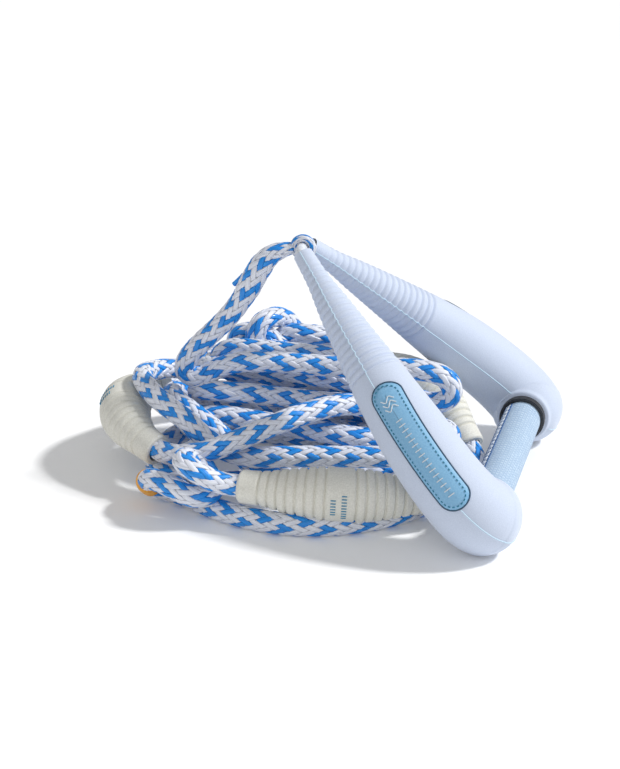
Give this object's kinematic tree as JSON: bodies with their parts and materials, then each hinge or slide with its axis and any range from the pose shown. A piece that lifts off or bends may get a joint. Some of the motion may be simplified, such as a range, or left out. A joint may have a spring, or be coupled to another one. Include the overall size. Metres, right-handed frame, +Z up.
{
  "type": "tow rope handle",
  "caption": "Tow rope handle: a padded V of two covered foam arms with a grip bar, eye-spliced to a braided floating rope heaped in loose turns with knots and sliding foam floats.",
  "frame": {"origin": "floor level under the middle of the handle's box", "axes": "+Y along the grip bar, -X from the bar towards the apex and the rope heap, +Z up"},
  "size_m": [0.3438, 0.2768, 0.1888],
  "materials": {
    "cover_fabric": "matte brushed stretch fabric",
    "arm_foam": "closed-cell foam",
    "seam_fabric": "matte piping",
    "patch_rubber": "satin moulded rubber",
    "bush_plastic": "matte",
    "bridle_cord": "braided cord",
    "bar_aluminium": "anodised",
    "grip_knit": "ribbed knit",
    "plug_plastic": "matte",
    "rope_braid": "glossy woven film ribbons, white with blue tracers",
    "marker_plastic": "satin",
    "float_foam": "matte moulded foam"
  },
  "bodies": {
    "rope": {"rope_eye": "rope_braid", "rope_lead": "rope_braid", "rope_coil": "rope_braid", "rope_in_float_left": "rope_braid", "rope_in_float_front": "rope_braid", "rope_in_float_back": "rope_braid", "marker_band": "marker_plastic"},
    "handle": {"cover_top_far": "cover_fabric", "cover_top_near": "cover_fabric", "cover_bottom_far": "cover_fabric", "cover_bottom_near": "cover_fabric", "foam_core_far": "arm_foam", "foam_core_near": "arm_foam", "seam_piping_far": "seam_fabric", "seam_piping_near": "seam_fabric", "label_patch_far": "patch_rubber", "label_patch_near": "patch_rubber", "bar_bush_far": "bush_plastic", "bar_bush_near": "bush_plastic", "bridle_knot_far": "bridle_cord", "bridle_knot_near": "bridle_cord", "bridle_rope": "bridle_cord"},
    "grip": {"grip_tube": "bar_aluminium", "grip_sleeve": "grip_knit", "end_plug_far": "plug_plastic", "end_plug_near": "plug_plastic"},
    "left_float": {"float_left": "float_foam"},
    "front_float": {"float_front": "float_foam"},
    "back_float": {"float_back": "float_foam"}
  },
  "joints": [
    {"name": "handle_swing", "type": "hinge", "parent": "rope", "child": "handle", "pos_m": [-0.08399, 0, 0.17886], "axis": [0, -1, 0], "range_deg": [0, 110]},
    {"name": "grip_spin", "type": "hinge", "parent": "handle", "child": "grip", "pos_m": [0.07059, 0, 0.028], "axis": [0, 1, 0], "continuous": true},
    {"name": "float_left_slide", "type": "hinge", "parent": "rope", "child": "left_float", "pos_m": [-0.13857, 0.01641, 0.01932], "axis": [-0.2431, -0.056, -0.9684], "range_deg": [-3.15, 3.15]},
    {"name": "float_front_slide", "type": "hinge", "parent": "rope", "child": "front_float", "pos_m": [-0.09189, 0.14358, -0.0103], "axis": [0.0116, 0.1607, 0.9869], "range_deg": [-1.15, 1.15]},
    {"name": "float_back_slide", "type": "hinge", "parent": "rope", "child": "back_float", "pos_m": [-0.06976, 0.03945, -0.09801], "axis": [-0.513, -0.7925, 0.3298], "range_deg": [-1.72, 1.72]}
  ]
}
